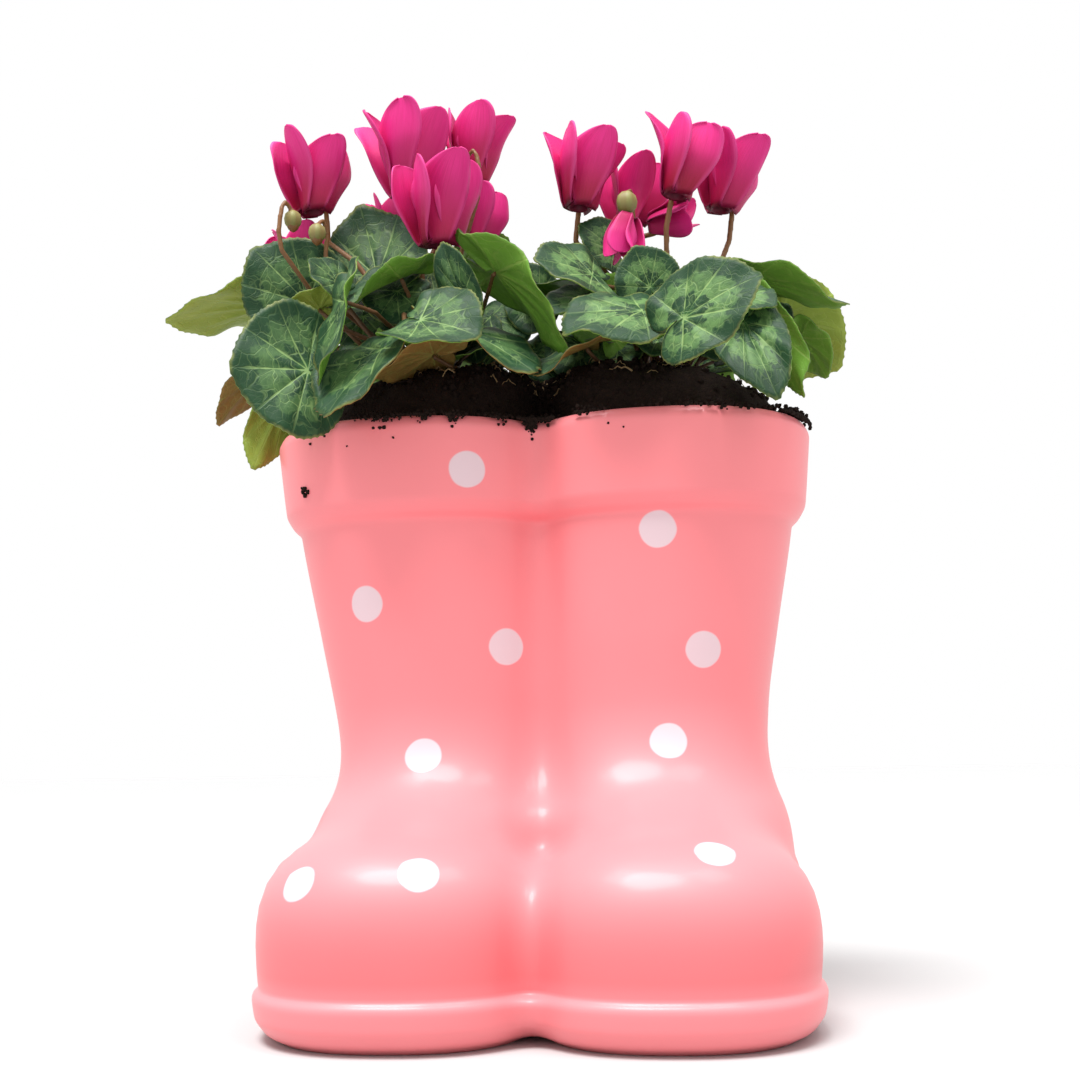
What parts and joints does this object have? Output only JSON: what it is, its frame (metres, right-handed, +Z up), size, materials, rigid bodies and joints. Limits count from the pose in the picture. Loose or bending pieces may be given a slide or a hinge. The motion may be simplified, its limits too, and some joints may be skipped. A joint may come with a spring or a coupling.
{
  "type": "potted plant",
  "caption": "Miniature cyclamens in bloom with marbled heart-shaped leaves, planted in a glazed dotted planter shaped as a pair of rain boots.",
  "frame": {"origin": "centre of the pot's underside between the two boots, on the surface that it stands on", "axes": "+Z up, toes towards -Y, the second boot towards +X"},
  "size_m": [0.2805, 0.1875, 0.3799],
  "materials": {
    "glaze": "glossy pink glaze with white round dots",
    "soil": "dark crumbly peat",
    "stalk": "smooth, brown to olive",
    "leaf": "satin, marbled",
    "petal": "velvety"
  },
  "bodies": {
    "root": {"boots_pot": "glaze", "potting_soil": "soil", "left_tuber_and_stalks": "stalk", "right_tuber_and_stalks": "stalk", "left_leaf_01": "leaf", "left_leaf_02": "leaf", "left_leaf_03": "leaf", "left_leaf_04": "leaf", "left_leaf_05": "leaf", "left_leaf_06": "leaf", "left_leaf_07": "leaf", "left_leaf_08": "leaf", "left_leaf_09": "leaf", "left_leaf_10": "leaf", "left_leaf_11": "leaf", "left_leaf_12": "leaf", "left_leaf_13": "leaf", "left_leaf_14": "leaf", "left_leaf_15": "leaf", "left_leaf_16": "leaf", "left_leaf_17": "leaf", "left_leaf_18": "leaf", "left_leaf_19": "leaf", "left_leaf_20": "leaf", "left_leaf_21": "leaf", "left_leaf_22": "leaf", "right_leaf_01": "leaf", "right_leaf_02": "leaf", "right_leaf_03": "leaf", "right_leaf_04": "leaf", "right_leaf_05": "leaf", "right_leaf_06": "leaf", "right_leaf_07": "leaf", "right_leaf_08": "leaf", "right_leaf_09": "leaf", "right_leaf_10": "leaf", "right_leaf_11": "leaf", "right_leaf_12": "leaf", "right_leaf_13": "leaf", "right_leaf_14": "leaf", "right_leaf_15": "leaf", "right_leaf_16": "leaf", "right_leaf_17": "leaf", "right_leaf_18": "leaf", "right_leaf_19": "leaf", "right_leaf_20": "leaf", "right_leaf_21": "leaf", "left_bloom_1": "petal", "left_bloom_2": "petal", "left_bloom_3": "petal", "left_bloom_4": "petal", "left_bloom_5": "petal", "left_bloom_6": "petal", "left_bloom_7": "petal", "right_bloom_1": "petal", "right_bloom_2": "petal", "right_bloom_3": "petal", "right_bloom_4": "petal", "right_bloom_5": "petal", "right_bloom_6": "petal"}
  },
  "joints": []
}
